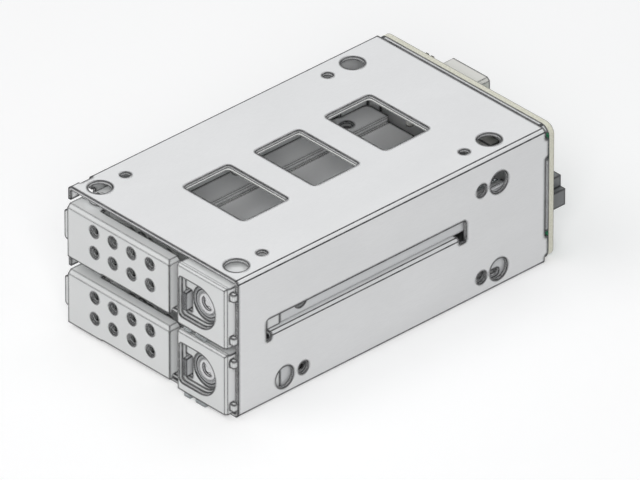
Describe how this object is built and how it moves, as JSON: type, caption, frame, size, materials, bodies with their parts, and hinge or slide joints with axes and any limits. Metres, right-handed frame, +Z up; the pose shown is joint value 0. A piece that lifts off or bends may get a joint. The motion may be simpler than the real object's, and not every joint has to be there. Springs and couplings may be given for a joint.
{
  "type": "hot swap drive cage",
  "caption": "Sheet metal cage for hot swap drives, with stacked slide-in trays, swinging levers, push-button latches and a backplane board behind.",
  "frame": {"origin": "centre of the cage's bottom face, which stands on the chassis floor", "axes": "+X to the right seen from the front, +Y from the front towards the backplane, +Z up"},
  "size_m": [0.0783, 0.1491, 0.0502],
  "materials": {
    "cage_steel": "bright zinc-plated sheet, fine rolled grain",
    "pan_steel": "zinc-plated sheet, satin",
    "bright_steel": "plated, slightly glossy",
    "spring_steel": "bare spring wire",
    "film": "thin milky insulating film",
    "board": "green solder mask",
    "power_plastic": "natural white moulding",
    "dark_plastic": "black moulding",
    "contact_metal": "gold-flashed contacts",
    "chip_ceramic": "small ceramic parts",
    "bezel_plastic": "light grey moulding, fine spark texture",
    "latch_plastic": "mid grey moulding",
    "button_plastic": "grey moulding",
    "rail_plastic": "pale grey low-friction moulding",
    "lock_metal": "turned face",
    "clear_plastic": "clear light-guiding moulding"
  },
  "bodies": {
    "cage": {"cage_shell": "cage_steel", "cage_floor": "cage_steel", "floor_rivets": "bright_steel", "insulation_film": "film", "rear_bracket": "cage_steel", "backplane_board": "board", "board_screws": "bright_steel", "power_connector": "power_plastic", "power_pins": "contact_metal", "data_connector": "dark_plastic", "data_tongue": "contact_metal", "board_capacitors": "chip_ceramic", "status_leds": "chip_ceramic", "upper_receptacle": "power_plastic", "lower_receptacle": "power_plastic"},
    "lower_tray": {"lower_tray_pan": "pan_steel", "lower_left_rail": "rail_plastic", "lower_right_rail": "rail_plastic", "lower_rail_rivets": "bright_steel", "lower_tray_front": "bezel_plastic", "lower_latch_housing": "bezel_plastic", "lower_front_screws": "bright_steel", "lower_pivot_pin": "bright_steel", "lower_latch_cover": "rail_plastic", "lower_drive_light_pipe": "clear_plastic", "lower_fault_light_pipe": "clear_plastic", "lower_button_spring": "spring_steel", "lower_catch_spring": "spring_steel"},
    "lower_lever_arm": {"lower_lever": "bezel_plastic"},
    "lower_button": {"lower_release_button": "button_plastic"},
    "lower_lock": {"lower_lock_core": "lock_metal"},
    "lower_catch": {"lower_lever_catch": "latch_plastic"},
    "upper_tray": {"upper_tray_pan": "pan_steel", "upper_left_rail": "rail_plastic", "upper_right_rail": "rail_plastic", "upper_rail_rivets": "bright_steel", "upper_tray_front": "bezel_plastic", "upper_latch_housing": "bezel_plastic", "upper_front_screws": "bright_steel", "upper_pivot_pin": "bright_steel", "upper_latch_cover": "rail_plastic", "upper_drive_light_pipe": "clear_plastic", "upper_fault_light_pipe": "clear_plastic", "upper_button_spring": "spring_steel", "upper_catch_spring": "spring_steel"},
    "upper_lever_arm": {"upper_lever": "bezel_plastic"},
    "upper_button": {"upper_release_button": "button_plastic"},
    "upper_lock": {"upper_lock_core": "lock_metal"},
    "upper_catch": {"upper_lever_catch": "latch_plastic"}
  },
  "joints": [
    {"name": "lower_tray_slide", "type": "slide", "parent": "cage", "child": "lower_tray", "axis": [0, -1, 0], "range_m": [0, 0.13]},
    {"name": "lower_lever_swing", "type": "hinge", "parent": "lower_tray", "child": "lower_lever_arm", "pos_m": [-0.0313, -0.0595, 0.011], "axis": [0, 0, -1], "range_deg": [0, 60]},
    {"name": "lower_button_press", "type": "slide", "parent": "lower_tray", "child": "lower_button", "axis": [0, 1, 0], "range_m": [0, 0.0012], "stiffness_N_per_m": 900, "deforming": ["lower_button_spring"]},
    {"name": "lower_lock_turn", "type": "hinge", "parent": "lower_button", "child": "lower_lock", "pos_m": [0.0255, -0.0666, 0.01215], "axis": [0, 1, 0], "range_deg": [0, 90]},
    {"name": "lower_catch_slide", "type": "slide", "parent": "lower_tray", "child": "lower_catch", "axis": [1, 0, 0], "range_m": [0, 0.0012], "stiffness_N_per_m": 400, "deforming": ["lower_catch_spring"]},
    {"name": "upper_tray_slide", "type": "slide", "parent": "cage", "child": "upper_tray", "axis": [0, -1, 0], "range_m": [0, 0.13]},
    {"name": "upper_lever_swing", "type": "hinge", "parent": "upper_tray", "child": "upper_lever_arm", "pos_m": [-0.0313, -0.0595, 0.0354], "axis": [0, 0, -1], "range_deg": [0, 60]},
    {"name": "upper_button_press", "type": "slide", "parent": "upper_tray", "child": "upper_button", "axis": [0, 1, 0], "range_m": [0, 0.0012], "stiffness_N_per_m": 900, "deforming": ["upper_button_spring"]},
    {"name": "upper_lock_turn", "type": "hinge", "parent": "upper_button", "child": "upper_lock", "pos_m": [0.0255, -0.0666, 0.03655], "axis": [0, 1, 0], "range_deg": [0, 90]},
    {"name": "upper_catch_slide", "type": "slide", "parent": "upper_tray", "child": "upper_catch", "axis": [1, 0, 0], "range_m": [0, 0.0012], "stiffness_N_per_m": 400, "deforming": ["upper_catch_spring"]}
  ],
  "couplings": [
    {"joint": "lower_catch_slide", "follows": "lower_button_press", "ratio": 1},
    {"joint": "upper_catch_slide", "follows": "upper_button_press", "ratio": 1}
  ]
}
